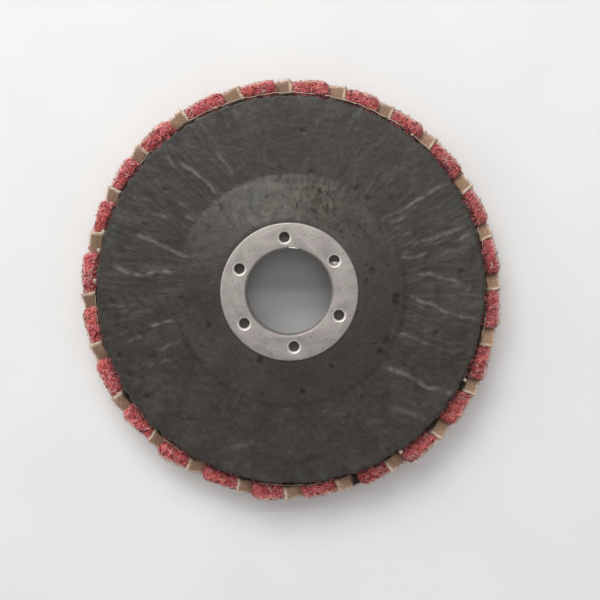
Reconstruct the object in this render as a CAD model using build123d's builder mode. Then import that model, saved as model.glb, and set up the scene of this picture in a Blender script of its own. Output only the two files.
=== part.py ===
import os
from math import cos, radians, sin, sqrt

from build123d import *

# Driving dimensions of the disc, in millimetres and degrees
disc_diameter = 115.0
flap_overhang = 5.0
plate_thickness = 3.0
plate_edge_chamfer = 0.5
centre_depth = 5.6
cone_run = 12.1
hub_margin = 1.0
hub_inner_round = 1.5
foot_inner_round = 6.0

# Metal hub ring
bore_diameter = 22.23
ring_diameter = 36.0
ring_thickness = 1.0
ring_edge_chamfer = 0.3
bore_entry_chamfer = 0.5
sleeve_wall = 0.9
sleeve_clearance = 0.05
flare_size = 0.6
flare_clearance = 0.1

# Pierced holes whose collars bite into the plate
stake_count = 6
stake_circle = 28.6
stake_start_angle = 95.0
stake_hole_diameter = 2.7
stake_mouth_diameter = 3.6
stake_collar_wall = 0.55
stake_collar_depth = 1.3
stake_clearance = 0.1

# Resin that bonds the flaps to the plate
resin_thickness = 0.6
resin_edge_setback = 1.0
resin_bead_height = 1.8
resin_bead_width = 2.0
resin_bead_gap = 0.2

# Fan of flaps
flap_pairs = 24
first_flap_angle = 99.0
flap_lean = 25.0
flap_width = 19.0
cloth_length = 22.0
cloth_thickness = 1.0
cloth_setback = 0.5
cloth_seat = 0.35
web_length = 22.5
web_lead_angle = 10.0
web_corner_chamfer = 1.0
web_proud = 0.8
web_gap = 0.1
web_shoulder_width = 6.0
web_shoulder_fall = 14.0

# Heights, downwards from the hub ring's back face at zero
plate_hub_z = -ring_thickness
plate_rim_z = plate_hub_z - centre_depth
plate_front_z = plate_rim_z - plate_thickness
sleeve_end_z = plate_hub_z - plate_thickness
flap_seat_z = plate_front_z - resin_thickness

# Radii that follow from the fits
bore_radius = bore_diameter / 2
ring_radius = ring_diameter / 2
sleeve_radius = bore_radius + sleeve_wall
plate_radius = disc_diameter / 2 - flap_overhang
plate_bore_radius = sleeve_radius + sleeve_clearance
hub_flat_radius = ring_radius + hub_margin
cone_foot_radius = hub_flat_radius + cone_run
stake_hole_radius = stake_hole_diameter / 2
stake_collar_radius = stake_hole_radius + stake_collar_wall

# Fan geometry
pair_angle = 360 / flap_pairs
half_fall = flap_width / 2 * sin(radians(flap_lean))
half_reach = flap_width / 2 * cos(radians(flap_lean))
cloth_mid_z = flap_seat_z + cloth_seat - half_fall
web_mid_z = flap_seat_z - half_fall
web_end_radius = sqrt((disc_diameter / 2) ** 2 - half_reach**2)
cloth_end_radius = web_end_radius - cloth_setback
flap_inner_radius = min(web_end_radius - web_length, cloth_end_radius - cloth_length)
cloth_low_z = cloth_mid_z - half_fall - cloth_thickness * cos(radians(flap_lean))
working_face_z = cloth_low_z - web_proud
web_blank_depth = flap_seat_z - working_face_z


# A flap lies in a plane through its radial middle line. X runs outwards, Y down the slope
# against the clock, and Z out of the back of the flap, towards the plate.
def flap_plane(angle, middle_z):
    turn = radians(angle)
    lean = radians(flap_lean)
    return Plane(
        origin=(0, 0, middle_z),
        x_dir=(cos(turn), sin(turn), 0),
        z_dir=(-sin(turn) * sin(lean), cos(turn) * sin(lean), cos(lean)),
    )


# The web's end slopes away from the resin towards the cloth flap that covers it.
def shoulder_plane(angle):
    turn = radians(angle)
    fall = radians(web_shoulder_fall)
    edge = web_shoulder_width - half_reach
    return Plane(
        origin=(-edge * sin(turn), edge * cos(turn), flap_seat_z),
        x_dir=(cos(turn), sin(turn), 0),
        z_dir=(-sin(turn) * sin(fall), cos(turn) * sin(fall), cos(fall)),
    )


# Hub ring: a flange on the plate's back and a sleeve through it, flared at the front
with BuildPart() as hub_ring:
    with BuildSketch(Plane.XZ) as ring_section:
        with BuildLine():
            Polyline(
                (bore_radius, 0),
                (ring_radius, 0),
                (ring_radius, -ring_thickness),
                (sleeve_radius, -ring_thickness),
                (sleeve_radius, sleeve_end_z + flare_size),
                (sleeve_radius + flare_size, sleeve_end_z),
                (bore_radius, sleeve_end_z),
                close=True,
            )
        make_face()
        bore_corner = ring_section.vertices().group_by(Axis.Y)[-1].sort_by(Axis.X)[0]
        chamfer(bore_corner, bore_entry_chamfer)
        rim_corner = ring_section.vertices().group_by(Axis.Y)[-1].sort_by(Axis.X)[-1]
        chamfer(rim_corner, ring_edge_chamfer)
    revolve(axis=Axis.Z)
    with BuildSketch(Plane.XY.offset(-ring_thickness)):
        with PolarLocations(stake_circle / 2, stake_count, start_angle=stake_start_angle):
            Circle(stake_collar_radius)
    extrude(amount=-stake_collar_depth)
    with PolarLocations(stake_circle / 2, stake_count, start_angle=stake_start_angle):
        CounterSinkHole(stake_hole_radius, stake_mouth_diameter / 2)
hub_ring.part.label = "hub_ring"

# Backing plate: one laminate of even thickness with a raised centre
with BuildPart() as backing_plate:
    with BuildSketch(Plane.XZ) as plate_section:
        with BuildLine():
            FilletPolyline(
                (plate_bore_radius, plate_hub_z),
                (hub_flat_radius, plate_hub_z),
                (cone_foot_radius, plate_rim_z),
                (plate_radius, plate_rim_z),
                radius=[hub_inner_round + plate_thickness, foot_inner_round],
            )
            offset(amount=plate_thickness, side=Side.RIGHT)
        make_face()
        chamfer(plate_section.vertices().group_by(Axis.X)[-1], plate_edge_chamfer)
        front_bore_corner = plate_section.vertices().group_by(Axis.X)[0].sort_by(Axis.Y)[0]
        chamfer(front_bore_corner, flare_size + flare_clearance)
    revolve(axis=Axis.Z)
    with BuildSketch(Plane.XY.offset(plate_hub_z)):
        with PolarLocations(stake_circle / 2, stake_count, start_angle=stake_start_angle):
            Circle(stake_collar_radius + stake_clearance)
    extrude(amount=-(stake_collar_depth + stake_clearance), mode=Mode.SUBTRACT)
backing_plate.part.label = "backing_plate"

# Resin bed: a flat ring under the flaps with a bead round their inner ends
with BuildPart() as resin_bed:
    bead_outer_radius = flap_inner_radius - resin_bead_gap
    bead_inner_radius = bead_outer_radius - resin_bead_width
    with BuildSketch(Plane.XZ):
        with BuildLine():
            Polyline(
                (bead_inner_radius, plate_front_z),
                (plate_radius - resin_edge_setback, plate_front_z),
                (plate_radius - resin_edge_setback, flap_seat_z),
                (bead_outer_radius, flap_seat_z),
                (bead_outer_radius, flap_seat_z - resin_bead_height),
                close=True,
            )
        make_face()
    revolve(axis=Axis.Z)
resin_bed.part.label = "resin_bed"

# Flaps: coated cloth and nonwoven web in turn, going clockwise from the first
cloth_flaps = []
web_flaps = []
for pair in range(flap_pairs):
    cloth_angle = first_flap_angle - pair * pair_angle
    web_angle = cloth_angle - web_lead_angle
    cloth_back = flap_plane(cloth_angle, cloth_mid_z)
    next_cloth_back = flap_plane(cloth_angle - pair_angle, cloth_mid_z)

    with BuildPart() as cloth_flap:
        with BuildSketch(cloth_back):
            with Locations((cloth_end_radius - cloth_length / 2, 0)):
                Rectangle(cloth_length, flap_width)
        extrude(amount=-cloth_thickness)
        split(bisect_by=Plane.XY.offset(flap_seat_z), keep=Keep.BOTTOM)
    cloth_flap.part.label = f"cloth_flap_{pair + 1:02d}"
    cloth_flaps.append(cloth_flap.part)

    with BuildPart() as web_flap:
        with BuildSketch(flap_plane(web_angle, web_mid_z)):
            with Locations((web_end_radius - web_length / 2, 0)):
                web_blank = Rectangle(web_length, flap_width)
            chamfer(web_blank.vertices(), web_corner_chamfer)
        extrude(amount=web_blank_depth, both=True)
        split(bisect_by=Plane.XY.offset(flap_seat_z), keep=Keep.BOTTOM)
        split(bisect_by=Plane.XY.offset(working_face_z), keep=Keep.TOP)
        split(bisect_by=cloth_back.offset(-cloth_thickness - web_gap), keep=Keep.BOTTOM)
        split(bisect_by=next_cloth_back.offset(web_gap), keep=Keep.TOP)
        split(bisect_by=shoulder_plane(web_angle), keep=Keep.BOTTOM)
    web_flap.part.label = f"web_flap_{pair + 1:02d}"
    web_flaps.append(web_flap.part)

os.makedirs("parts", exist_ok=True)
for piece in [hub_ring.part, backing_plate.part, resin_bed.part, *cloth_flaps, *web_flaps]:
    export_step(piece, f"parts/{piece.label}.step")
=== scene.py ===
import math

import bmesh
import bpy
import numpy as np
from mathutils import Matrix, Vector, noise
from mathutils.bvhtree import BVHTree


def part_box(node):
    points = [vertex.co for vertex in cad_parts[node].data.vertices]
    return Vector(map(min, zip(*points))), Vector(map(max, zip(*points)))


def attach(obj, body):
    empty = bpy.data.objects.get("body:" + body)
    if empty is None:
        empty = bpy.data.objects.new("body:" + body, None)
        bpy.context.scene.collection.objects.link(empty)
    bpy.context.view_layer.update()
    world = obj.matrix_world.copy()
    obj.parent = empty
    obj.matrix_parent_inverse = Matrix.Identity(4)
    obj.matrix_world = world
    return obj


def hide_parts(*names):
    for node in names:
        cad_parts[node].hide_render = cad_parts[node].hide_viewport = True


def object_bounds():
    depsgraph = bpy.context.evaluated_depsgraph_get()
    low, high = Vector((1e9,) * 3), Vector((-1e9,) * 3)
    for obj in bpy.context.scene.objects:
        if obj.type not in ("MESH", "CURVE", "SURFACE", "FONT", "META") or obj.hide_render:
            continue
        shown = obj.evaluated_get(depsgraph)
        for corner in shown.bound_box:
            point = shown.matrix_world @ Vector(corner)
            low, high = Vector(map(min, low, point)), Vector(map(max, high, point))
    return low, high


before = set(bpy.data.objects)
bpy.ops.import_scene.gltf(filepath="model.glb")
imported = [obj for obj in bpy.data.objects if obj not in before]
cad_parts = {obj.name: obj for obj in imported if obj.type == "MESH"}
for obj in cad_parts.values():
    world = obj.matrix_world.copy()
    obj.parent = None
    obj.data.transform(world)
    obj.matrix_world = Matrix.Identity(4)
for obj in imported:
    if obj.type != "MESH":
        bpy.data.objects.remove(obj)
solid_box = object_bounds()
mm = 0.001

# Backing plate
# A disc of resin-soaked glass cloth, pressed and cured in a mould that raises its centre.
# Wrinkles of the cloth, pits and a faint weave have set in its back, and the ring is staked to it.
plate_low, plate_high = [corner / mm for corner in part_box("backing_plate")]
plate_radius = plate_high.x
plate_hub_z = plate_high.z
plate_front_z = plate_low.z
plate_thickness = 3.0
plate_rim_z = plate_front_z + plate_thickness
plate_bore_radius = 12.065
hub_corner_radius = 19.0
cone_foot_radius = 31.1
cone_fall = math.atan2(plate_hub_z - plate_rim_z, cone_foot_radius - hub_corner_radius)
front_shift = plate_thickness * math.tan(cone_fall / 2)
plate_segments = 760
stake_circle_radius = 14.3
stake_start_angle = 95
stake_count = 6
stake_turns = np.radians(stake_start_angle + np.arange(stake_count) * 360 / stake_count)
stake_places = np.stack([np.cos(stake_turns), np.sin(stake_turns)], 1) * stake_circle_radius
pocket_radius = 2.0
pocket_depth = 1.4
wrinkle_rise = 0.65
wrinkle_narrowing = 0.85
wrinkle_wander = 0.45
trough_share = 0.4
trough_offset = 1.6
pit_depth = 0.3
pit_raggedness = 0.6
ridge_rise = 0.08
ridge_spacing_radius = 44
rim_chip_and_shade_width = 1.2
rim_shrink = 0.007
rim_chips = 0.011
dust_width = 7
yarn_spacing = 1.05
yarn_direction = math.radians(-68)
wave_scale = 0.314

# The plate's middle in the 600 by 600 picture, and how many of its pixels make a millimetre there
plate_middle_across = 291.0
plate_middle_down = 290.3
pixels_to_a_millimetre = 3.73

# Each wrinkle: its height and half width in millimetres, and the pixels of the picture it runs through
plate_wrinkles = [
    (0.30, 0.60, [(178, 159), (190.6, 169.6), (208.5, 183.4), (216.7, 193), (222, 199.8)]),
    (0.20, 0.50, [(166, 149), (170, 157), (174, 165.5), (184, 171)]),
    (0.16, 0.70, [(216.7, 151.8), (223.5, 160), (230.4, 169.6), (233, 178)]),
    (0.26, 0.45, [(186.2, 214.2), (196, 220)]),
    (0.26, 0.55, [(134.4, 232.7), (149.5, 239.6), (167.3, 247.8), (181, 254.7), (193.4, 257.4)]),
    (0.34, 0.60, [(113.8, 265.7), (120.7, 269.8), (133, 274), (142.6, 276.6)]),
    (0.26, 0.80, [(142.6, 275.8), (156.3, 271), (167.3, 271), (175.5, 274)]),
    (0.12, 0.60, [(131.6, 195.7), (153.6, 202.6)]),
    (0.12, 0.60, [(139.9, 213.5), (161.8, 215), (170, 217.7)]),
    (0.10, 0.60, [(178, 202.6), (189, 206.7)]),
    (0.30, 0.50, [(384.6, 217), (399.7, 212.2), (413.5, 202.6),
                  (427.2, 195.7), (438, 188.9), (447.7, 184.7)]),
    (0.20, 0.50, [(391.5, 223), (399.7, 220.4), (413.5, 215)]),
    (0.14, 0.50, [(402.5, 234.8), (413.5, 232.7)]),
    (0.28, 0.50, [(417.6, 241.7), (434, 238.2), (447.7, 232.7), (467, 225.9)]),
    (0.24, 0.50, [(460, 238.2), (471, 234)]),
    (0.22, 0.50, [(399.7, 257.4), (413.5, 257.4), (428.5, 253.3)]),
    (0.16, 0.50, [(436.8, 258.8), (451.9, 247.8)]),
    (0.26, 0.60, [(410.7, 269.8), (421.7, 272.5), (438, 276.6), (454.6, 280.8), (472.4, 287.6)]),
    (0.16, 0.45, [(394, 169.6), (403.8, 169.6), (410.7, 173.8), (421.7, 169.6)]),
    (0.20, 0.55, [(107, 307), (116.5, 305.6), (135.8, 304.2)]),
    (0.32, 0.50, [(149.5, 326.2), (161.8, 324.8), (174, 320)]),
    (0.14, 0.50, [(135.8, 313.8), (153.6, 308.3)]),
    (0.20, 0.50, [(124.8, 345.4), (133, 339.9), (142.6, 335.8)]),
    (0.16, 0.55, [(157.7, 352.2), (167.3, 346.7), (181, 341.2)]),
    (0.12, 0.60, [(146.7, 367.3), (161.8, 363.2), (172.8, 359)]),
    (0.12, 0.80, [(229, 449.6), (242, 446), (255, 444)]),
    (0.24, 0.65, [(406.6, 293.2), (413.5, 297.3), (428.5, 302.8), (445, 311), (461.5, 316.5), (479, 320)]),
    (0.16, 0.50, [(451.9, 285), (471, 289)]),
    (0.22, 0.55, [(399.7, 331.6), (410.7, 335.8), (421.7, 339.9), (432.7, 345.4)]),
    (0.32, 0.75, [(386, 366), (397, 371.4), (409.3, 375.5), (417.6, 381)]),
    (0.26, 0.75, [(416.3, 379.8), (427.2, 386.5), (439.5, 389.3), (460.7, 395.9)]),
    (0.14, 0.80, [(390, 405.7), (408, 411.2), (420.3, 415.3), (428.5, 420.8)]),
]

# Each pit: its pixel in the picture, and its half width in millimetres
plate_pits = [
    (209.8, 227.3, 0.9), (222, 206.7, 0.6), (303.7, 131, 0.4), (329.8, 206.7, 0.5), (372.3, 269.8, 0.5),
    (461.5, 271, 0.6), (183, 298, 0.6), (126, 328, 0.5), (153.6, 357, 0.8), (130.3, 374.8, 0.9),
    (189.2, 419.7, 0.5), (195.5, 420.5, 0.5), (263.3, 393.4, 0.4), (262, 357, 0.5), (211.2, 324.8, 0.4),
    (396.2, 295.5, 0.6), (396.2, 300, 0.5), (387.4, 338.5, 0.6), (380.5, 349.5, 0.6), (332.5, 364.6, 0.4),
    (304.4, 390, 0.5), (324.3, 409, 0.4), (350.4, 417.4, 0.5), (438, 333, 0.6), (166.4, 188.8, 0.6),
    (147, 397, 0.5), (119.8, 355.9, 0.7), (405.1, 364.9, 0.4), (112.3, 301.1, 0.6), (367.8, 197.8, 0.5),
    (267.9, 195.9, 0.4), (281.7, 176.2, 0.4), (311.1, 172.4, 0.4), (321.2, 191.1, 0.4), (299.2, 207.9, 0.4),
    (357.8, 188.1, 0.5),
]


def on_plate(across, down):
    """Where a pixel of the picture lies on the plate, to a tenth of a millimetre."""
    x = (across - plate_middle_across) / pixels_to_a_millimetre
    y = (plate_middle_down - down) / pixels_to_a_millimetre
    return round(x, 1), round(y, 1)


def eased_outline(corners):
    """Points round a closed section. A corner is (radius, height, ease, spacing to the next corner)."""
    bends = []
    for number, (radius, height, ease, _) in enumerate(corners):
        here = np.array([radius, height])
        before = np.array(corners[number - 1][:2]) - here
        after = np.array(corners[(number + 1) % len(corners)][:2]) - here
        into = here + before * ease / np.linalg.norm(before)
        out = here + after * ease / np.linalg.norm(after)
        share = np.linspace(0, 1, 5)[:, None]
        bends.append((1 - share) ** 2 * into + 2 * share * (1 - share) * here + share**2 * out)
    outline = []
    for number, bend in enumerate(bends):
        following = bends[(number + 1) % len(bends)][0]
        steps = max(1, round(np.linalg.norm(following - bend[-1]) / corners[number][3]))
        run = np.linspace(bend[-1], following, steps, endpoint=False)[1:]
        outline += [*bend, *run]
    return np.array(outline)


def turned(outline, segments):
    """Points and faces of a closed section turned once round the disc's axis."""
    turn = np.linspace(0, 2 * np.pi, segments, endpoint=False)
    height = np.tile(outline[:, 1], (segments, 1))
    rightwards = np.outer(np.cos(turn), outline[:, 0])
    upwards = np.outer(np.sin(turn), outline[:, 0])
    points = np.stack([rightwards, upwards, height], 2)
    here = np.arange(segments * len(outline)).reshape(segments, -1)
    up = np.roll(here, -1, 1)
    quads = np.stack([here, up, np.roll(up, -1, 0), np.roll(here, -1, 0)], 2)
    return points.reshape(-1, 3), quads.reshape(-1, 4)


def cloudy(points, lump, octaves=3):
    """Cloudy noise, mostly between -1 and 1, whose lumps are about that many millimetres across."""
    return np.array([noise.fractal(Vector(point) / lump, 1.0, 2.0, octaves) for point in points.tolist()])


def eased(share):
    """A share from 0 to 1 that starts and stops gently."""
    share = np.clip(share, 0, 1)
    return share * share * (3 - 2 * share)


def along_route(places, route):
    """Distance from a route through several places, which side of it, and the share of it run by there."""
    nearest = np.full(len(places), 1e9)
    side = np.zeros(len(places))
    run = np.zeros(len(places))
    lengths = [math.dist(a, b) for a, b in zip(route, route[1:])]
    for number, (start, end) in enumerate(zip(route, route[1:])):
        way = np.subtract(end, start)
        share = np.clip((places - start) @ way / (way @ way), 0, 1)
        off = places - start - share[:, None] * way
        gap = np.linalg.norm(off, axis=1)
        closer = gap < nearest
        nearest[closer] = gap[closer]
        side[closer] = np.sign(way[0] * off[:, 1] - way[1] * off[:, 0])[closer]
        run[closer] = ((sum(lengths[:number]) + share * lengths[number]) / sum(lengths))[closer]
    return nearest, side, run


def piece_from(name, points, faces, finish):
    """A new piece of the disc from points in millimetres, with its finish, riding on the disc."""
    mesh = bpy.data.meshes.new(name)
    mesh.from_pydata((points * mm).tolist(), [], faces)
    mesh.materials.append(finish)
    mesh.shade_smooth()
    piece = bpy.data.objects.new(name, mesh)
    bpy.context.scene.collection.objects.link(piece)
    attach(piece, "root")
    return piece


def mark_points(piece, name, values, where="POINT"):
    """Keeps one value or one colour for each point or face of a piece, for its finish to read."""
    kind, field = ("FLOAT", "value") if values.ndim == 1 else ("FLOAT_COLOR", "color")
    marks = piece.data.attributes.new(name, kind, where)
    marks.data.foreach_set(field, values.astype(np.float32).ravel())


def paint(red, green, blue):
    """A colour as the eye reads it, each part from 0 to 255, in a shader's units."""
    return [((part / 255 + 0.055) / 1.055) ** 2.4 for part in (red, green, blue)] + [1.0]


def level(value):
    """A plain value as a stop of a ramp."""
    return [value, value, value, 1.0]


def new_finish(name, roughness, specular):
    """A finish, its node tree, its shader, and the place on the piece that its grain is drawn by."""
    finish = bpy.data.materials.new(name)
    finish.use_nodes = True
    tree = finish.node_tree
    shader = tree.nodes["Principled BSDF"]
    shader.inputs["Roughness"].default_value = roughness
    shader.inputs["Specular IOR Level"].default_value = specular
    return finish, tree, shader, tree.nodes.new("ShaderNodeTexCoord").outputs["Object"]


def feed(tree, socket, value):
    """Joins a socket to another, or sets its own value."""
    if isinstance(value, bpy.types.NodeSocket):
        tree.links.new(value, socket)
    else:
        socket.default_value = value


def grain(tree, place, lump, detail=3.0, rough=0.55):
    """Noise whose lumps are about that many millimetres across."""
    node = tree.nodes.new("ShaderNodeTexNoise")
    node.inputs["Scale"].default_value = 1 / (lump * mm)
    node.inputs["Detail"].default_value = detail
    node.inputs["Roughness"].default_value = rough
    feed(tree, node.inputs["Vector"], place)
    return node.outputs["Fac"]


def shades(tree, share, stops):
    """Colours picked along a ramp by a share from 0 to 1."""
    ramp = tree.nodes.new("ShaderNodeValToRGB")
    feed(tree, ramp.inputs["Fac"], share)
    while len(ramp.color_ramp.elements) < len(stops):
        ramp.color_ramp.elements.new(0.5)
    for element, (position, colour) in zip(ramp.color_ramp.elements, stops):
        element.position = position
        element.color = colour
    return ramp.outputs["Color"]


def mixed(tree, share, under, over, way="MIX"):
    """One colour laid over another by a share."""
    node = tree.nodes.new("ShaderNodeMix")
    node.data_type = "RGBA"
    node.blend_type = way
    feed(tree, node.inputs[0], share)
    feed(tree, node.inputs[6], under)
    feed(tree, node.inputs[7], over)
    return node.outputs[2]


def worked(tree, operation, first, second=0.0):
    """One step of arithmetic on two values."""
    node = tree.nodes.new("ShaderNodeMath")
    node.operation = operation
    feed(tree, node.inputs[0], first)
    feed(tree, node.inputs[1], second)
    return node.outputs[0]


def mark(tree, name, output="Fac"):
    """Reads back what mark_points kept."""
    node = tree.nodes.new("ShaderNodeAttribute")
    node.attribute_name = name
    return node.outputs[output]


def emboss(tree, shader, height, depth):
    """Raises the surface by a height from 0 to 1, times a depth in millimetres, over what is there."""
    node = tree.nodes.new("ShaderNodeBump")
    node.inputs["Distance"].default_value = depth * mm
    feed(tree, node.inputs["Height"], height)
    before = shader.inputs["Normal"].links
    if before:
        feed(tree, node.inputs["Normal"], before[0].from_socket)
    tree.links.new(node.outputs["Normal"], shader.inputs["Normal"])


laminate, tree, shader, place = new_finish("cured_glass_laminate", 0.42, 0.34)
clouds = shades(tree, grain(tree, place, 8), [(0.36, paint(54, 49, 45)), (0.64, paint(66, 61, 56))])
untinted = paint(255, 255, 255)
mottle = shades(tree, grain(tree, place, 1.7, 4, 0.6), [(0.34, paint(216, 213, 208)), (0.66, untinted)])
speckle = shades(tree, grain(tree, place, 0.6, 3, 0.7), [(0.3, paint(226, 224, 220)), (0.7, untinted)])
resin_skin = mixed(tree, 1.0, mixed(tree, 1.0, clouds, mottle, "MULTIPLY"), speckle, "MULTIPLY")
green_dust = mixed(tree, mark(tree, "rim_dust"), resin_skin, paint(66, 72, 58))
olive_film = mixed(tree, mark(tree, "cone_film"), green_dust, paint(70, 68, 48))
# The wear mark holds real wear and painted light together: painted highlight on crests, painted light on
# the cone's lower right, painted shade at the rim
wear_and_painted_light = mark(tree, "wear_and_painted_light")
scuffs_and_painted_light = mixed(tree, worked(tree, "MAXIMUM", wear_and_painted_light), olive_film, paint(150, 144, 134))
flecks = shades(tree, grain(tree, place, 1.1, 2, 0.5), [(0.665, level(0)), (0.695, level(0.8))])
pits_and_painted_shade = worked(tree, "MAXIMUM", worked(tree, "MULTIPLY", wear_and_painted_light, -1.0), flecks)
feed(tree, shader.inputs["Base Color"], mixed(tree, pits_and_painted_shade, scuffs_and_painted_light, paint(26, 23, 20)))
gloss = shades(tree, grain(tree, place, 2.5), [(0.3, level(0.33)), (0.7, level(0.5))])
feed(tree, shader.inputs["Roughness"], gloss)
tilted = tree.nodes.new("ShaderNodeMapping")
tilted.inputs["Rotation"].default_value = (0, 0, yarn_direction)
feed(tree, tilted.inputs["Vector"], place)
yarns = tree.nodes.new("ShaderNodeTexWave")
yarns.inputs["Scale"].default_value = wave_scale / (yarn_spacing * mm)
yarns.inputs["Distortion"].default_value = 4.0
yarns.inputs["Detail Scale"].default_value = 0.7
feed(tree, yarns.inputs["Vector"], tilted.outputs[0])
emboss(tree, shader, yarns.outputs["Fac"], 0.006)
emboss(tree, shader, grain(tree, place, 3.2, 4, 0.5), 0.3)
emboss(tree, shader, grain(tree, place, 0.7, 3), 0.05)

plate_outline = eased_outline([
    (plate_bore_radius, plate_hub_z, 0.15, 0.5),
    (hub_corner_radius, plate_hub_z, 1.0, 0.55),
    (cone_foot_radius, plate_rim_z, 0.7, 0.46),
    (plate_radius, plate_rim_z, 0.7, 0.8),
    (plate_radius, plate_front_z, 0.4, 2.6),
    (cone_foot_radius - front_shift, plate_front_z, 2.0, 2.6),
    (hub_corner_radius - front_shift, plate_hub_z - plate_thickness, 0.33, 2.2),
    (plate_bore_radius, plate_hub_z - plate_thickness, 0.7, 1.2),
])
plate_points, plate_quads = turned(plate_outline, plate_segments)
places = plate_points[:, :2]
reach = np.hypot(*places.T)
back_rings = int(np.argmax(plate_outline[:, 1] < plate_rim_z - 0.02))
on_back = np.arange(len(plate_points)) % len(plate_outline) < back_rings
wander = np.stack([cloudy(plate_points, 3.5), cloudy(plate_points + 40, 3.5)], 1)

# Wrinkles rise unevenly, each with a trough along one side, and their crests are painted pale, both as wear
# and as painted highlight
patchy = np.clip(0.8 + 0.9 * cloudy(plate_points, 1.5, 2), 0.15, 1.25)
relief = np.zeros(len(plate_points))
wear_and_painted_light_marks = np.zeros(len(plate_points))
for height, half_width, pixels in plate_wrinkles:
    half_width *= wrinkle_narrowing
    route = [on_plate(across, down) for across, down in pixels]
    gap, side, run = along_route(places + wrinkle_wander * wander, route)
    fade = eased(np.minimum(run, 1 - run) * 4 + 0.25) * patchy
    crest = fade * np.exp(-((gap / half_width) ** 2))
    trough = fade * np.exp(-(((gap * side + trough_offset * half_width) / half_width) ** 2))
    relief += wrinkle_rise * height * (crest - trough_share * trough)
    wear_and_painted_light_marks += height * crest

# Pits have ragged edges, and they are painted nearly black
ragged = np.stack([cloudy(plate_points, 0.9, 2), cloudy(plate_points + 40, 0.9, 2)], 1)
for across, down, half_width in plate_pits:
    off_pit = np.hypot(*(places + pit_raggedness * ragged - on_plate(across, down)).T)
    sunk = np.exp(-((off_pit / half_width) ** 2))
    relief -= pit_depth * sunk
    wear_and_painted_light_marks -= 0.95 * sunk

# Fine ridges run outwards from the cone's foot, most of them at the left and the right
around = np.arctan2(places[:, 1], places[:, 0])
ridge_place = [ridge_spacing_radius * np.cos(around), ridge_spacing_radius * np.sin(around), reach / 6]
fine_ridges = np.clip(1 - 3.6 * np.abs(cloudy(np.stack(ridge_place, 1), 2.3, 2)), 0, 1) ** 2
sideways = np.abs(places[:, 0]) / plate_radius
lower_part = eased(-places[:, 1] / 20)
fine_ridges *= eased(0.25 + 0.7 * wander[:, 1] + 0.7 * sideways - 0.3 * lower_part)
fine_ridges *= eased((reach - cone_foot_radius + 5) / 5)
relief += ridge_rise * fine_ridges + 0.05 * cloudy(plate_points, 6) + 0.03 * cloudy(plate_points, 1.3)
# The fine ridges are painted pale as well, both as wear and as painted highlight
wear_and_painted_light_marks += 0.09 * fine_ridges
relief *= np.where(on_back, eased((reach - hub_corner_radius + 0.6) / 2), 0.3)

# Pockets for the collars, and a rim that has chipped, with painted shade darkening it where the flaps meet
# it
for stake in stake_places:
    in_pocket = (np.linalg.norm(places - stake, axis=1) < pocket_radius) & on_back
    relief[in_pocket] -= pocket_depth
    wear_and_painted_light_marks[in_pocket] = 0.12
plate_points[:, 2] += relief
at_rim = eased((reach - plate_radius + rim_chip_and_shade_width) / 1.0)
worn_away = at_rim * (rim_shrink + rim_chips * cloudy(plate_points, 1.7, 2))
plate_points[:, :2] *= 1 - worn_away[:, None]
# Painted shade: the rim is darkened where the gap between plate and flaps lies in shadow
wear_and_painted_light_marks -= 0.85 * at_rim**2

# The cone is scuffed, its top is cracked and stained a faint olive, and its lower right is painted paler as
# painted light
scuffs = eased((cone_foot_radius - reach) / 2) * eased(places[:, 1] / 25)
wear_and_painted_light_marks += 0.08 * cloudy(plate_points + 80, 1.4) * scuffs
cone_top = eased((cone_foot_radius - reach) / 3) * eased((places[:, 1] - 15) / 6)
cone_top *= eased(1.6 - np.abs(places[:, 0]) / 11)
crack_lines = np.clip(1.2 - 5 * np.abs(cloudy(plate_points + 60, 1.5, 2)), 0, 1)
cracked_spots = np.clip(3 * cloudy(plate_points + 90, 1.3, 1) - 0.2, 0, 1)
wear_and_painted_light_marks -= 1.1 * cone_top * crack_lines * cracked_spots
# Painted light: the cone's lower right, which faces away from the lamps, is painted paler
lower_right = eased(np.maximum(places[:, 0], -places[:, 1]) / 15)
wear_and_painted_light_marks += 0.07 * eased((cone_foot_radius - reach) / 1.5) * lower_right

plate = piece_from("backing_plate_laminate", plate_points, plate_quads.tolist(), laminate)
mark_points(plate, "wear_and_painted_light", np.clip(wear_and_painted_light_marks * on_back, -1, 1))
dust = eased((reach - plate_radius + dust_width) / dust_width) * np.clip(1.6 * wander[:, 0] - 0.1, 0, 1)
mark_points(plate, "rim_dust", dust * 0.55)
film = np.clip(0.45 + 1.1 * cloudy(plate_points + 120, 3.2), 0, 1)
mark_points(plate, "cone_film", cone_top * film * 0.75)
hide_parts("backing_plate")

# Hub ring
# A flange and sleeve pressed from one piece of zinc-coated steel sheet.
# Six holes are punched through it, and the collars they raise underneath bite into the plate.
punch_round = 0.1
sharp_bend = math.radians(28)
burr_hole = 5
burr_size = 0.8
burr_shape = (1.15, 0.5, 0.4)
burr_shift = (0.2, -0.8, -0.8)
burr_shine = 0.2
sliver_radius = 11.5
sliver_middle = 1.1
sliver_half_size = (1.3, 0.2, 0.13)
sliver_z = -0.07
sliver_painted_highlight = 0.6
worn_mouth_radius = 1.9
worn_rim_width = 0.35
flat_tilt = 0.985

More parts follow.
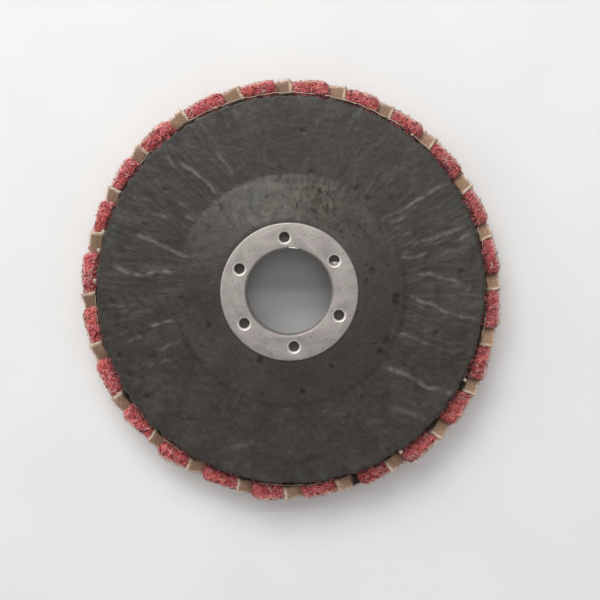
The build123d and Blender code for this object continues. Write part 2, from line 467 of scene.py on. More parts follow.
plated, tree, shader, place = new_finish("dull_zinc", 0.6, 0.5)
mottle = shades(tree, grain(tree, place, 4, 4), [
    (0.35, paint(158, 149, 147)), (0.5, paint(165, 160, 154)), (0.65, paint(174, 164, 162))])
specks = shades(tree, grain(tree, place, 0.6, 2, 0.4), [(0.27, paint(170, 164, 160)), (0.36, untinted)])
zinc = mixed(tree, 0.8, mottle, specks, "MULTIPLY")
feed(tree, shader.inputs["Base Color"], mixed(tree, mark(tree, "burnished_and_painted_highlight"), zinc, paint(236, 231, 225)))
shader.inputs["Metallic"].default_value = 1.0
gloss = shades(tree, grain(tree, place, 2), [(0.3, level(0.54)), (0.7, level(0.66))])
feed(tree, shader.inputs["Roughness"], gloss)
emboss(tree, shader, grain(tree, place, 2.5, 3), 0.1)
emboss(tree, shader, grain(tree, place, 0.25, 2), 0.012)

pressing = bmesh.new()
pressing.from_mesh(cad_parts["hub_ring"].data)
bmesh.ops.scale(pressing, vec=(1 / mm,) * 3, verts=pressing.verts)
bmesh.ops.remove_doubles(pressing, verts=pressing.verts, dist=0.001)
flat_enough = math.radians(0.5)
bmesh.ops.dissolve_limit(pressing, angle_limit=flat_enough, verts=pressing.verts, edges=pressing.edges)
sharp_edges = [edge for edge in pressing.edges if edge.calc_face_angle() > sharp_bend]
bmesh.ops.bevel(pressing, geom=sharp_edges, offset=punch_round, segments=3, profile=0.5, affect="EDGES")

# A crumpled burr is left in one hole, and a pale sliver on the lip of the bore makes a painted highlight
# there
shine_and_painted_highlight = pressing.faces.layers.float.new("shine_and_painted_highlight")
burr_place = Vector((*stake_places[burr_hole], 0)) + Vector(burr_shift)
for vert in bmesh.ops.create_icosphere(pressing, subdivisions=3, radius=burr_size)["verts"]:
    crumple = 1 + 0.7 * noise.noise(vert.co * 3.1)
    vert.co = Vector(burr_shape) * vert.co * crumple + burr_place
    for face in vert.link_faces:
        face[shine_and_painted_highlight] = burr_shine
# Painted highlight: a pale sliver set on the bore's top lip, to glint where the lamps alone leave none
for vert in bmesh.ops.create_icosphere(pressing, subdivisions=3, radius=1)["verts"]:
    x, y, z = np.array(vert.co) * sliver_half_size
    x += sliver_middle
    vert.co = (x, y + math.sqrt(sliver_radius**2 - x**2), z + sliver_z)
    for face in vert.link_faces:
        face[shine_and_painted_highlight] = sliver_painted_highlight
lump_shine_and_painted_highlight = np.array([face[shine_and_painted_highlight] for face in pressing.faces])
ring_points = np.array([vert.co for vert in pressing.verts])
ring_faces = [[vert.index for vert in face.verts] for face in pressing.faces]
pressing.free()
ring = piece_from("hub_ring_pressing", ring_points, ring_faces, plated)
ring.data.set_sharp_from_angle(angle=math.radians(24))
face_middles = np.array([ring_points[face].mean(0) for face in ring_faces])
face_tilts = np.array([face.normal.z for face in ring.data.polygons])
middle_reach = np.hypot(*face_middles[:, :2].T)
burnished_and_painted_highlight = 0.3 * (middle_reach > middle_reach.max() - worn_rim_width) * (face_middles[:, 2] > -0.7)
for stake in stake_places:
    off = np.linalg.norm(face_middles[:, :2] - stake, axis=1)
    burnished_and_painted_highlight = np.maximum(burnished_and_painted_highlight, (off < worn_mouth_radius) & (face_middles[:, 2] > -0.6))
burnished_and_painted_highlight[face_tilts > flat_tilt] = 0
burnished_and_painted_highlight = np.where(lump_shine_and_painted_highlight > 0, lump_shine_and_painted_highlight, burnished_and_painted_highlight)
mark_points(ring, "burnished_and_painted_highlight", burnished_and_painted_highlight, "FACE")
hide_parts("hub_ring")

# Resin bed
# Cured epoxy that glues the flaps to the front of the plate, spread as a ring with a lumpy bead.
# At the rim it has been squeezed out in thin dried lines, and a few pale drops have set there.
resin_low, resin_high = [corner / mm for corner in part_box("resin_bed")]
resin_radius = resin_high.x
flap_seat_z = -10.2
bead_outer_radius = 34.152
bead_inner_radius = 32.152
bed_segments = 300
bed_overlap = 0.02
bead_lump_height = 0.35
squeeze_gap = 0.95
line_wander = 0.22
line_sides = 6
drop_z = plate_rim_z - 1.6
drop_lumpiness = 0.9

epoxy, tree, shader, place = new_finish("cured_epoxy", 0.34, 0.5)
honey = shades(tree, grain(tree, place, 5), [(0.3, paint(150, 128, 96)), (0.7, paint(184, 163, 130))])
feed(tree, shader.inputs["Base Color"], mixed(tree, mark(tree, "dried"), honey, paint(196, 180, 158)))
emboss(tree, shader, grain(tree, place, 0.8, 3), 0.12)

resin_outline = eased_outline([
    (bead_inner_radius, plate_front_z + bed_overlap, 0.1, 3),
    (resin_radius, plate_front_z + bed_overlap, 0.1, 3),
    (resin_radius, flap_seat_z, 0.2, 1.6),
    (bead_outer_radius, flap_seat_z, 0.2, 0.45),
    (bead_outer_radius, resin_low.z, 0.35, 0.4),
])
bed_points, bed_quads = turned(resin_outline, bed_segments)
in_bead = eased((flap_seat_z + 0.3 - bed_points[:, 2]) / 0.8)
bed_points[:, 2] -= in_bead * bead_lump_height * cloudy(bed_points, 2.2)
bed_points[:, :2] *= 1 - (in_bead * 0.012 * (0.4 + cloudy(bed_points + 9, 2.6)))[:, None]
bed_faces = bed_quads.tolist()
dried_marks = [np.zeros(len(bed_points))]
bed_parts = [bed_points]

# Resin squeezed out beside the plate's edge: each run's first and last turn, and its half width
squeezed_runs = [(-31, 8, 0.12), (10, 36, 0.15), (37.5, 46, 0.14), (71, 78, 0.09), (96, 104, 0.09),
                 (168, 190, 0.1), (214, 222, 0.1), (259, 271, 0.09), (310, 316, 0.1)]
for first_turn, last_turn, half_width in squeezed_runs:
    turn = np.radians(np.arange(first_turn, last_turn, 0.5))
    trail = np.stack([np.sin(turn), np.cos(turn), np.zeros(len(turn))], 1) * (plate_radius + squeeze_gap)
    trail += line_wander * np.stack([cloudy(trail + shift, 1.4) for shift in (0, 20, 40)], 1)
    trail[:, 2] += plate_front_z - 0.1
    fade = eased(np.minimum(turn - turn[0], turn[-1] - turn) * 60 + 0.3)
    swell = half_width * (0.75 + 0.5 * cloudy(trail + 60, 1.0)) * fade
    corner = np.radians(np.arange(line_sides) * 360 / line_sides)
    out = trail * (1, 1, 0) / np.hypot(trail[:, 0], trail[:, 1])[:, None]
    tube = trail[:, None] + swell[:, None, None] * (
        np.cos(corner)[:, None] * out[:, None] + np.sin(corner)[:, None] * np.array([0, 0, 1.0]))
    here = np.arange(len(tube) * line_sides).reshape(-1, line_sides) + sum(map(len, bed_parts))
    round_it = np.roll(here, -1, 1)
    bed_faces += np.stack([here[:-1], here[1:], round_it[1:], round_it[:-1]], 2).reshape(-1, 4).tolist()
    bed_faces += [here[0].tolist(), here[-1, ::-1].tolist()]
    bed_parts.append(tube.reshape(-1, 3))
    dried_marks.append(np.ones(len(bed_parts[-1])))

# Each drop: its turn clockwise from the top, its half width, and how far it stands out from the rim
rim_drops = [(117, 0.45, 0.4), (145.5, 0.5, 0.4), (273, 0.55, 0.4), (282, 0.5, 0.4), (287.5, 0.55, 0.4),
             (338, 0.3, 0.5), (38, 0.32, 0.5)]
for drop_turn, half_width, out in rim_drops:
    drop = bmesh.new()
    bmesh.ops.create_icosphere(drop, subdivisions=3, radius=half_width)
    clockwise = math.radians(drop_turn)
    place_on_rim = Vector((math.sin(clockwise), math.cos(clockwise), 0)) * (plate_radius + out)
    place_on_rim.z = drop_z
    for vert in drop.verts:
        vert.co = vert.co * (1 + drop_lumpiness * noise.noise(vert.co * 3 + place_on_rim)) + place_on_rim
    first = sum(map(len, bed_parts))
    bed_faces += [[first + vert.index for vert in face.verts] for face in drop.faces]
    bed_parts.append(np.array([vert.co for vert in drop.verts]))
    dried_marks.append(np.ones(len(bed_parts[-1])))
    drop.free()
bed = piece_from("resin_bed_cured", np.concatenate(bed_parts), bed_faces, epoxy)
mark_points(bed, "dried", np.concatenate(dried_marks))
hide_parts("resin_bed")

# Cloth flaps
# Stiff woven cloth cut in oblongs and coated with abrasive grain on the side that works.
# Each leans over the next, glued by its upper edge, so only a strip of its bare back shows.
flap_pairs = 24
pair_angle = 360 / flap_pairs
first_flap_angle = 99.0
flap_lean = math.radians(25)
cloth_length = 22.0
cloth_thickness = 1.0
cloth_end_radius = 56.352
cloth_root_radius = cloth_end_radius - cloth_length
cloth_mid_z = -13.865
cloth_seat = 0.35
fan_free_radius = 54.0
weave_spacing = 0.42
grit_size = 0.42
end_raggedness = 0.42
edge_raggedness = 0.32
bow_height = 0.12
fray_count = 110
edge_fray_share = 0.3
edge_fray_start = 51.5
thread_corners = 3

# Painted light on the cloths: how light they are painted on the whole, and how much lighter towards the top
# and towards the right
cloth_painted_light = (1.07, -0.07, 0.05)
torn_cloth = 14
# Painted shadow: one cloth is darkened at a turn where a deep gap between flaps lies in shade
shadowed_gap_cloth = 11
shadowed_gap_turn = 160.8
shadowed_gap_half_width = 1.3

# How far each cloth's upper edge, and the end of the web before the next, stand off an even
# spacing at the rim, in degrees clockwise. Then how far the rim swells, in millimetres, by turn
cloth_drift = [0.1, 0.5, -0.3, -0.9, 0.3, -0.1, -0.5, 0.5, -0.3, -0.2, 0.9, 1.3,
               1.5, 0.0, 0.4, -1.2, -1.2, -0.2, -0.9, 1.8, 0.0, -1.2, -0.9, 0.9]
web_drift = [0.4, 0.1, -0.6, -0.2, 0.2, -0.3, 0.0, 0.2, -0.4, 0.3, -0.6, 1.2,
             0.6, 0.3, -0.4, -1.4, -0.6, -0.4, 0.3, 0.8, -0.6, -1.2, 0.2, 0.5]
web_end_turn = 9.7
rim_swell = [(0, 0.0), (68, -0.2), (105, 0.2), (113, 0.8), (141, 0.8), (148, 0.0), (172, 0.0), (185, 1.3),
             (193, 0.4), (206, -0.2), (217, 1.0), (226, -0.1), (237, 0.9), (250, 0.2), (276, 0.3),
             (287, -0.3), (305, 0.2), (318, 0.5), (335, 0.1)]
pair_turns = np.arange(flap_pairs) * pair_angle
drift_turns = np.stack([pair_turns, pair_turns + web_end_turn], 1).ravel()
drift_steps = np.stack([cloth_drift, web_drift], 1).ravel()


def clockwise_turn(points):
    """How far round from the top of the picture each point lies, in radians."""
    return np.arctan2(points[:, 0], points[:, 1])


def settled(points):
    """Moves points of a flap from even spacing to where the fan has set: roots stay, ends drift."""
    radius = np.hypot(points[:, 0], points[:, 1])
    turn = np.degrees(clockwise_turn(points)) % 360
    share = eased((radius - cloth_root_radius) / (fan_free_radius - cloth_root_radius))
    swell_turns, swells = zip(*rim_swell)
    radius = radius + share**3 * np.interp(turn, swell_turns, swells, period=360)
    turn = np.radians(turn + share * np.interp(turn, drift_turns, drift_steps, period=360))
    return np.stack([radius * np.sin(turn), radius * np.cos(turn), points[:, 2]], 1)


def painted_light_by_turn(points, mean, upwards, rightwards):
    """How much lighter the flaps are painted at each point: painted light that falls more on some sides of
    the disc.
    """
    turn = clockwise_turn(points)
    return mean + upwards * np.cos(turn) + rightwards * np.sin(turn)


def leaning(angle):
    """Ways out, down the slope and out of the back of a flap, as rows."""
    turn = math.radians(angle)
    level_run = math.cos(flap_lean)
    outward = [math.cos(turn), math.sin(turn), 0]
    downhill = [-math.sin(turn) * level_run, math.cos(turn) * level_run, -math.sin(flap_lean)]
    return np.array([outward, downhill, np.cross(outward, downhill)])


def threads(rows, thickness):
    """Three-sided threads along rows of points: their points, and their faces with closed ends."""
    count, steps = rows.shape[:2]
    along = np.gradient(rows, axis=1)
    along /= np.linalg.norm(along, axis=2, keepdims=True) + 1e-9
    aside = np.cross(along, [0.31, 0.62, 0.72])
    aside /= np.linalg.norm(aside, axis=2, keepdims=True) + 1e-9
    across = np.cross(along, aside)
    thickness = np.broadcast_to(thickness, (count, steps))[..., None, None] / 2
    corner = np.radians(90 + np.arange(thread_corners) * 360 / thread_corners)[:, None]
    rings = np.cos(corner) * aside[:, :, None] + np.sin(corner) * across[:, :, None]
    points = (rows[:, :, None] + thickness * rings).reshape(-1, 3)
    here = np.arange(count * steps * thread_corners).reshape(count, steps, thread_corners)
    round_it = np.roll(here, -1, 2)
    sides = np.stack([here, round_it, np.roll(round_it, -1, 1), np.roll(here, -1, 1)], 3)[:, :-1]
    ends = np.concatenate([here[:, 0, ::-1], here[:, -1]])
    return points, sides.reshape(-1, 4), ends


backing_cloth, tree, shader, place = new_finish("woven_backing_cloth", 0.85, 0.25)
across = tree.nodes.new("ShaderNodeSeparateXYZ")
feed(tree, across.inputs[0], mark(tree, "thread_place", "Vector"))
yarn = math.pi / weave_spacing
weft = worked(tree, "SINE", worked(tree, "MULTIPLY", across.outputs[0], yarn))
warp = worked(tree, "SINE", worked(tree, "MULTIPLY", across.outputs[1], yarn))
weave = worked(tree, "MULTIPLY_ADD", worked(tree, "MULTIPLY", weft, warp), 0.5)
weave.node.inputs[2].default_value = 0.5
stain = shades(tree, grain(tree, place, 4), [
    (0.3, paint(122, 93, 72)), (0.5, paint(143, 110, 87)), (0.7, paint(160, 126, 105))])
fluff = shades(tree, grain(tree, place, 0.5, 4, 0.7), [(0.32, paint(196, 190, 182)), (0.68, untinted)])
cloth_colour = mixed(tree, 0.9, stain, fluff, "MULTIPLY")
cloth_colour = mixed(tree, worked(tree, "MULTIPLY", weave, 0.22), cloth_colour, paint(222, 200, 174))
# Painted light: the cloth colour is made lighter or darker by its turn round the disc
cloth_colour = mixed(tree, 1.0, cloth_colour, mark(tree, "painted_light", "Color"), "MULTIPLY")
cloth_colour = mixed(tree, mark(tree, "cut"), cloth_colour, paint(228, 206, 184))
# Near the plate's edge the cloth darkens, both as soaked resin and as painted shade
feed(tree, shader.inputs["Base Color"], mixed(tree, mark(tree, "soaked_and_shaded"), cloth_colour, paint(44, 34, 28)))
shader.inputs["Sheen Weight"].default_value = 0.15
emboss(tree, shader, weave, 0.09)
emboss(tree, shader, grain(tree, place, 0.22, 3), 0.08)

grain_coat, tree, shader, place = new_finish("abrasive_grain", 0.6, 0.5)
grit = tree.nodes.new("ShaderNodeTexVoronoi")
grit.inputs["Scale"].default_value = 1 / (grit_size * mm)
feed(tree, grit.inputs["Vector"], place)
grit_shade = shades(tree, grit.outputs["Color"], [
    (0.2, paint(92, 62, 44)), (0.6, paint(140, 98, 68)), (0.9, paint(176, 140, 108))])
size_coat = shades(tree, grain(tree, place, 3), [(0.3, paint(206, 196, 188)), (0.7, untinted)])
feed(tree, shader.inputs["Base Color"], mixed(tree, 1.0, grit_shade, size_coat, "MULTIPLY"))
emboss(tree, shader, grit.outputs["Distance"], 0.16)
emboss(tree, shader, grain(tree, place, 0.5, 2), 0.1)

# The grid of points on each face is closer at the outer end and at the upper edge
run_out = np.concatenate([np.linspace(0, 21.2, 40), [21.55, 21.8, 22.0]]) + cloth_root_radius
slope_down = np.concatenate([[-9.5, -9.3, -9.05, -8.7], np.linspace(-8.3, 8.6, 33), [9.1, 9.5]])
rows, columns = len(run_out), len(slope_down)
here = np.arange(rows * columns).reshape(rows, columns)
far = here + rows * columns
back_quads = np.stack([here[:-1, :-1], here[1:, :-1], here[1:, 1:], here[:-1, 1:]], 2).reshape(-1, 4)
front_quads = far.ravel()[back_quads[:, ::-1]]
rim = np.concatenate([here[:-1, 0], here[-1, :-1], here[:0:-1, -1], here[0, :0:-1]])
rim_quads = np.stack([rim, rim + rows * columns, np.roll(rim, -1) + rows * columns, np.roll(rim, -1)], 1)
first_fray = 2 * rows * columns
for pair in range(flap_pairs):
    name = f"cloth_flap_{pair + 1:02d}"
    dice = np.random.default_rng(300 + pair)
    ways = leaning(first_flap_angle - pair * pair_angle)
    out, down = np.meshgrid(run_out, slope_down, indexing="ij")
    flat_place = np.stack([out.ravel(), down.ravel(), np.zeros(out.size)], 1)
    seed_shift = np.array([0, 0, 30.0 * pair])
    at_end = eased((flat_place[:, 0] - cloth_end_radius + 1.2) / 1.2)
    flat_place[:, 0] += at_end * end_raggedness * cloudy(flat_place * (0, 1, 0) + seed_shift, 1.5)
    at_edge = eased((-flat_place[:, 1] - 8.7) / 0.8)
    flat_place[:, 1] += at_edge * edge_raggedness * cloudy(flat_place * (1, 0, 0) + seed_shift, 2.0)
    bow = bow_height * cloudy(flat_place + seed_shift, 7)
    cut = np.maximum(at_edge, eased((flat_place[:, 0] - cloth_end_radius + 0.5) / 0.5))
    cut *= np.clip(0.7 + 0.8 * cloudy(flat_place + seed_shift, 0.9), 0, 1)
    back = flat_place + np.outer(bow + 0.07 * cloudy(flat_place + seed_shift, 0.8), [0, 0, 1])
    back[:, 2] -= 0.18 * np.maximum(at_edge, at_end)
    front = flat_place + np.outer(bow - cloth_thickness, [0, 0, 1])
    front[:, 2] += 0.07 * cloudy(flat_place + seed_shift + 50, 0.6) + 0.12 * np.maximum(at_edge, at_end)

    fray_start = np.stack([
        np.full(fray_count, cloth_end_radius - 0.15),
        dice.uniform(-9.4, 9.2, fray_count),
        dice.uniform(-0.75, -0.1, fray_count),
    ], 1)
    along_edge = dice.random(fray_count) < edge_fray_share
    fray_start[along_edge, 0] = dice.uniform(edge_fray_start, cloth_end_radius, along_edge.sum())
    fray_start[along_edge, 1] = -9.35
    heading = dice.normal(0, 0.35, (fray_count, 3)) + [1, 0, 0]
    heading[along_edge] = dice.normal(0, 0.45, (along_edge.sum(), 3)) + [0.3, -1, 0]
    reach_out = dice.uniform(0.25, 0.75, (fray_count, 1)) * np.where(along_edge, 0.6, 1.0)[:, None]
    bend = dice.normal(0, 0.12, (fray_count, 3))
    fray_middle = fray_start + heading * reach_out * 0.55 + bend
    frays = np.stack([fray_start, fray_middle, fray_start + heading * reach_out], 1)
    if pair == torn_cloth:
        torn = np.linspace([55.2, -4.2, 0.1], [56.2, -5.4, 0.3], 7)[:, None]
        torn = torn + dice.normal(0, 0.15, (7, 3, 3))
        torn = torn + np.array([[0, 0, 0], [0.5, -0.5, 0.9], [0.9, -1.3, 1.1]])
        frays = np.concatenate([frays, torn])
    fray_points, fray_sides, fray_ends = threads(frays, dice.uniform(0.09, 0.15, (len(frays), 1)))

    local = np.concatenate([back, front, fray_points])
    points = local @ ways + [0, 0, cloth_mid_z]
    reach = np.hypot(points[:, 0], points[:, 1])
    pressed = flap_seat_z + cloth_seat * eased((reach - plate_radius - 0.1) / 0.9)
    points[:, 2] = np.minimum(points[:, 2], pressed)
    faces = [*back_quads.tolist(), *front_quads.tolist(), *rim_quads.tolist()]
    faces += [*(fray_sides + first_fray).tolist(), *(fray_ends + first_fray).tolist()]
    cloth = piece_from(f"{name}_cloth", settled(points), faces, backing_cloth)
    cloth.data.materials.append(grain_coat)
    finishes = np.zeros(len(faces), np.int32)
    finishes[len(back_quads):2 * len(back_quads)] = 1
    cloth.data.polygons.foreach_set("material_index", finishes)
    mark_points(cloth, "cut", np.concatenate([cut, cut * 0.5, np.full(len(fray_points), 0.85)]))
    # Soaked resin and painted shade darken the cloth beside the plate's edge
    soaked_and_shaded = 1 - eased((reach - plate_radius - 0.75) / 0.5)
    # Painted shadow on one cloth, where a deep gap between flaps lies in shade
    if pair == shadowed_gap_cloth:
        off_shadowed_gap = np.abs(np.degrees(clockwise_turn(points)) - shadowed_gap_turn)
        soaked_and_shaded = np.maximum(soaked_and_shaded, eased((shadowed_gap_half_width - off_shadowed_gap) / 0.4))
    mark_points(cloth, "soaked_and_shaded", soaked_and_shaded)
    mark_points(cloth, "painted_light", painted_light_by_turn(points, *cloth_painted_light))
    thread_place = np.concatenate([local, np.ones((len(local), 1))], 1)
    mark_points(cloth, "thread_place", thread_place)
    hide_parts(name)

# Web flaps
# Lofty web of crimped nylon fibre, bonded with red resin and fine grit, cut in oblongs.
# Each fills the wedge between two cloths, glued to the bed, with fuzz standing from its cut ends.
voxel = 0.68
web_lead_angle = 10.0
bulge = 0.65
bulge_floor_z = -13.0
working_face_z = -19.586
laid_count = 505
cut_count = 215
fibre_steps = 5
fibre_stride = 0.62
lump_height = 0.28
hidden_thickness = 0.27
pale_end_width = 1.05
pale_end_share = 0.85
soaked_and_shade_share = 0.95
# Painted light on the webs: how light they are painted on the whole, and how much lighter towards the top
# and towards the right
web_painted_light = (0.98, 0.08, -0.15)
torn_web = 9
torn_turn = 144
torn_half_width = 1.6

fibre_coat, tree, shader, place = new_finish("resin_bonded_fibre", 0.62, 0.35)
tint = shades(tree, grain(tree, place, 0.5, 3, 0.6), [(0.3, paint(222, 212, 212)), (0.7, untinted)])
coloured = mixed(tree, 1.0, mark(tree, "fibre_colour", "Color"), tint, "MULTIPLY")
crossing = worked(tree, "ABSOLUTE", worked(tree, "SUBTRACT", grain(tree, place, 0.55, 2, 0.5), 0.5))
strands = shades(tree, crossing, [(0.02, level(1)), (0.05, level(0))])
strands = worked(tree, "MULTIPLY", strands, mark(tree, "matted"))
coloured = mixed(tree, strands, coloured, paint(230, 120, 118))
pores = shades(tree, grain(tree, place, 0.8, 1, 0.4), [(0.33, paint(146, 76, 82)), (0.42, untinted)])
coloured = mixed(tree, 1.0, coloured, pores, "MULTIPLY")
worn_pale = shades(tree, grain(tree, place, 1.8, 2, 0.5), [(0.5, level(0)), (0.68, level(0.25))])
feed(tree, shader.inputs["Base Color"], mixed(tree, worn_pale, coloured, paint(238, 140, 136)))
shader.inputs["Sheen Weight"].default_value = 0.2
emboss(tree, shader, grain(tree, place, 0.3, 3), 0.15)

# Colours of the laid fibres from dark to pale, the share of each, and the shares among the cut ends
fibre_colours = np.array([
    paint(176, 50, 61), paint(216, 90, 93), paint(232, 134, 132), paint(247, 192, 188),
    paint(244, 226, 212)])
fibre_shares = [0.23, 0.29, 0.28, 0.15, 0.05]
pale_ones = [2, 3, 4]
pale_shares = [0.25, 0.3, 0.45]
pit_colour = np.array(paint(112, 20, 32))
matted_colour = np.array(paint(196, 72, 78))
orange_colour = np.array(paint(232, 136, 100))
pale_colour = np.array(paint(244, 226, 214))
# Soaked resin and painted shade: the colour the webs darken to beside the plate's edge
soaked_and_shade_colour = np.array(paint(52, 28, 26))


def overlaid(under, share, over):
    """A colour laid over others by a share for each point."""
    return under * (1 - share[:, None]) + over * share[:, None]


def swollen_blank(node):
    """A flap's solid as a close mesh of squares with its corners worn round, in millimetres."""
    blank = bpy.data.objects.new("web_blank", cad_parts[node].data.copy())
    blank.data.transform(Matrix.Scale(1 / mm, 4))
    bpy.context.scene.collection.objects.link(blank)
    remesh = blank.modifiers.new("squares", "REMESH")
    remesh.mode = "VOXEL"
    remesh.voxel_size = voxel
    squared = blank.evaluated_get(bpy.context.evaluated_depsgraph_get())
    mesh = bpy.data.meshes.new_from_object(squared)
    points = np.empty(len(mesh.vertices) * 3)
    mesh.vertices.foreach_get("co", points)
    points = points.reshape(-1, 3)
    edges = np.empty(len(mesh.edges) * 2, np.int32)
    mesh.edges.foreach_get("vertices", edges)
    edges = np.concatenate([edges.reshape(-1, 2), edges.reshape(-1, 2)[:, ::-1]])
    quads = np.array([face.vertices[:] for face in mesh.polygons])
    bpy.data.objects.remove(blank)
    for _ in range(2):
        total = np.zeros_like(points)
        np.add.at(total, edges[:, 0], points[edges[:, 1]])
        neighbours = np.bincount(edges[:, 0], minlength=len(points))[:, None]
        points = 0.45 * points + 0.55 * total / neighbours
    return points, quads


def facing(points, quads):
    """The way that each face looks, times its area, and the way that each point looks."""
    corners = points[quads]
    ways = np.cross(corners[:, 2] - corners[:, 0], corners[:, 3] - corners[:, 1]) / 2
    at_points = np.zeros_like(points)
    for corner in range(4):
        np.add.at(at_points, quads[:, corner], ways)
    return ways, at_points / (np.linalg.norm(at_points, axis=1, keepdims=True) + 1e-9)


def laid_fibres(surface, starts, stride, dice):
    """Fibres that wander over a surface from their starts, each a row of points."""
    rows = np.empty((len(starts), fibre_steps, 3))
    heading = dice.normal(0, 1, (len(starts), 3))
    lift = dice.uniform(0.0, 0.22, len(starts))
    for number, start in enumerate(starts):
        here, way = Vector(start), Vector(heading[number])
        for step in range(fibre_steps):
            spot, up, _, _ = surface.find_nearest(here)
            rows[number, step] = spot + up * (lift[number] + dice.uniform(-0.05, 0.12))
            way += Vector(dice.normal(0, 0.8, 3))
            way -= up * way.dot(up)
            way.normalize()
            here = spot + way * stride
    return rows


for pair in range(flap_pairs):
    name = f"web_flap_{pair + 1:02d}"
    dice = np.random.default_rng(700 + pair)
    body, quads = swollen_blank(name)
    ways, up = facing(body, quads)
    lumps = cloudy(body, 1.1)
    body += up * (lump_height * lumps - 0.02)[:, None]
    past_plate = np.hypot(body[:, 0], body[:, 1]) - plate_radius
    body[:, 2] += bulge * eased((past_plate - 0.4) / 1.4) * eased((body[:, 2] - bulge_floor_z) / 3)
    centres = body[quads].mean(1)
    area = np.linalg.norm(ways, axis=1)
    look = ways / (area[:, None] + 1e-9)
    reach = np.hypot(centres[:, 0], centres[:, 1])
    outward = (look[:, :2] * centres[:, :2]).sum(1) / reach
    clockwise = (look[:, 0] * centres[:, 1] - look[:, 1] * centres[:, 0]) / reach
    past_edge = reach > plate_radius - 1.2
    near_seat = centres[:, 2] > flap_seat_z - 3
    on_working_face = centres[:, 2] < working_face_z + 1.1
    showing = np.max([
        (look[:, 2] > 0.4) * past_edge * 2.34,
        (outward > 0.5) * 1.3,
        (clockwise > 0.4) * past_edge * 2.6,
        (clockwise < -0.3) * past_edge * near_seat * 2.4,
        (look[:, 2] < -0.35) * on_working_face * 0.5,
        (outward < -0.5) * 0.6,
    ], axis=0)
    body = settled(body)
    surface = BVHTree.FromPolygons(body.tolist(), quads.tolist())
    chance = area * showing
    picked = dice.choice(len(quads), laid_count, p=chance / chance.sum())
    starts = body[quads[picked]].mean(1) + dice.normal(0, 0.2, (len(picked), 3))
    rows_laid = laid_fibres(surface, starts, fibre_stride, dice)
    hidden_side = look[picked, 2] < -0.35
    thickness = np.where(hidden_side, hidden_thickness, dice.uniform(0.12, 0.19, len(picked)))
    laid, laid_sides, laid_ends = threads(rows_laid, thickness[:, None])

    at_rim = area * (outward > 0.3) * (centres[:, 2] > flap_seat_z - 5)
    picked_ends = dice.choice(len(quads), cut_count, p=at_rim / at_rim.sum())
    ends_start = body[quads[picked_ends]].mean(1)
    spread = ends_start * (1, 1, 0) / np.hypot(ends_start[:, 0], ends_start[:, 1])[:, None]
    heading = spread * 0.7 + dice.normal(0, 0.5, (len(ends_start), 3))
    length = dice.uniform(0.25, 0.55, (len(ends_start), 1))
    if pair == torn_web:
        off_tear = np.abs(np.degrees(clockwise_turn(ends_start)) - torn_turn)
        length += 0.9 * np.clip(torn_half_width - off_tear, 0, 1)[:, None]
    curl = dice.normal(0, 0.14, (len(ends_start), 3))
    ends_middle = ends_start + heading * length * 0.5 + curl
    rows_cut = np.stack([ends_start, ends_middle, ends_start + heading * length], 1)
    fuzz, fuzz_sides, fuzz_ends = threads(rows_cut, dice.uniform(0.13, 0.2, (len(rows_cut), 1)))

    # The body is painted darker where its lumps sink, as painted shade in its hollows
    body_colour = overlaid(pit_colour, np.clip(0.5 + 0.8 * lumps, 0, 1), matted_colour)
    fibre_colour = fibre_colours[dice.choice(len(fibre_shares), len(rows_laid), p=fibre_shares)]
    warm = (cloudy(rows_laid[:, 2] + 70, 4.5) > 0.28) & (dice.random(len(rows_laid)) < 0.6)
    fibre_colour[warm] = orange_colour
    fuzz_colour = fibre_colours[dice.choice(pale_ones, len(rows_cut), p=pale_shares)]
    points = np.concatenate([body, laid, fuzz])
    colour = np.concatenate([
        body_colour,
        np.repeat(fibre_colour, fibre_steps * thread_corners, 0),
        np.repeat(fuzz_colour, rows_cut.shape[1] * thread_corners, 0),
    ])
    # Painted light: each point is made lighter or darker by its turn round the disc
    colour[:, :3] *= painted_light_by_turn(points, *web_painted_light)[:, None]
    along = points @ leaning(first_flap_angle - pair * pair_angle - web_lead_angle)[0]
    from_end = along - np.percentile(along[:len(body)], 99)
    pale = eased((from_end + pale_end_width) / 0.8) * eased((points[:, 2] + 14) / 2)
    colour = overlaid(colour, pale_end_share * pale, pale_colour)
    # Soaked resin and painted shade darken the web beside the plate's edge
    past_plate = np.hypot(points[:, 0], points[:, 1]) - plate_radius
    soaked_and_shaded = (1 - eased((past_plate - 1.0) / 0.4)) * (points[:, 2] > -14)
    colour = overlaid(colour, soaked_and_shade_share * soaked_and_shaded, soaked_and_shade_colour)
    faces = [*quads.tolist(), *(laid_sides + len(body)).tolist(), *(laid_ends + len(body)).tolist()]
    first = len(body) + len(laid)
    faces += [*(fuzz_sides + first).tolist(), *(fuzz_ends + first).tolist()]
    web = piece_from(f"{name}_fibre", points, faces, fibre_coat)
    mark_points(web, "fibre_colour", colour)
    mark_points(web, "matted", (np.arange(len(points)) < len(body)).astype(float))
    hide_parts(name)

# Floor, light and camera
# A plain pale floor under the disc, a large soft lamp high at the top of the picture, and the
# camera nearly straight above, as far off and as little tilted as in the photograph.
floor_size = 6.0
floor_z = solid_box[0].z - 0.0003
eye_distance = 208.7 * mm
eye_tilt_right = math.radians(1.9)
eye_tilt_up = math.radians(1.7)
lens = 47.5
sensor = 36.0
picture = 600
aim = Vector((0, 0, -3 * mm))
aim_pixel = (289.5, 291.6)

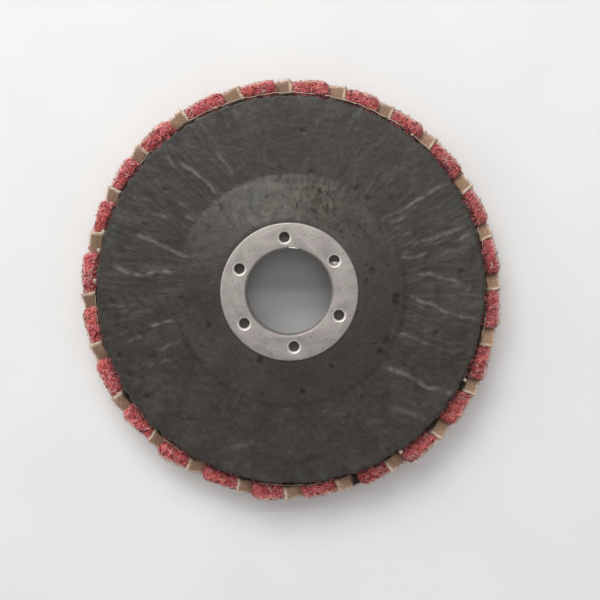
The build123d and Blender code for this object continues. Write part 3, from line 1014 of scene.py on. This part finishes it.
floor_paint, tree, shader, place = new_finish("pale_floor", 0.9, 0.1)
feed(tree, shader.inputs["Base Color"],
     shades(tree, grain(tree, place, 40), [(0.3, paint(226, 226, 224)), (0.7, paint(230, 230, 228))]))
floor_mesh = bpy.data.meshes.new("studio_floor")
half = floor_size / 2
floor_corners = [(-half, -half), (half, -half), (half, half), (-half, half)]
floor_mesh.from_pydata([(*corner, floor_z) for corner in floor_corners], [], [(0, 1, 2, 3)])
floor_mesh.materials.append(floor_paint)
floor = bpy.data.objects.new("studio_floor", floor_mesh)
bpy.context.scene.collection.objects.link(floor)


def soft_lamp(name, way, distance, width, height, power):
    """An oblong lamp that faces the disc from some way off."""
    lamp = bpy.data.lights.new(name, "AREA")
    lamp.shape = "RECTANGLE"
    lamp.size = width
    lamp.size_y = height
    lamp.energy = power
    holder = bpy.data.objects.new(name, lamp)
    bpy.context.scene.collection.objects.link(holder)
    holder.location = Vector(way).normalized() * distance
    out = Vector(way).normalized()
    aside = Vector((1, 0, 0)) - out * out.x
    aside.normalize()
    holder.rotation_euler = Matrix((aside, out.cross(aside), out)).transposed().to_euler()


soft_lamp("window_lamp", (-0.38, 1.15, 1.0), 1.0, 0.7, 0.4, 6.0)
soft_lamp("strip_lamp", (-0.06, 0.57, 1.0), 0.8, 1.4, 0.06, 2.0)
soft_lamp("side_lamp", (-1.0, 0.45, 0.36), 1.0, 0.5, 0.5, 1.6)
soft_lamp("overhead_lamp", (0.05, 0.1, 1.0), 1.0, 0.35, 0.35, 0.7)
world = bpy.data.worlds.new("studio_air")
bpy.context.scene.world = world
world.use_nodes = True
sky = world.node_tree.nodes["Background"]
sky.inputs["Color"].default_value = paint(250, 250, 251)
sky.inputs["Strength"].default_value = 0.46

eye = bpy.data.cameras.new("eye")
eye.lens = lens
eye.sensor_width = sensor
eye.clip_start = 0.01
camera = bpy.data.objects.new("eye", eye)
bpy.context.scene.collection.objects.link(camera)
eye_way = Vector((math.tan(eye_tilt_right), math.tan(eye_tilt_up), 1)).normalized()
camera.location = aim + eye_way * eye_distance
pixels_per_unit = lens / sensor * picture
off_middle = Vector((picture / 2 - aim_pixel[0], aim_pixel[1] - picture / 2, 0))
look_at = aim + off_middle * eye_distance / pixels_per_unit
backwards = (camera.location - look_at).normalized()
rightwards = Vector((0, 1, 0)).cross(backwards).normalized()
camera.rotation_euler = Matrix((rightwards, backwards.cross(rightwards), backwards)).transposed().to_euler()
bpy.context.scene.camera = camera
bpy.context.scene.view_settings.view_transform = "Standard"
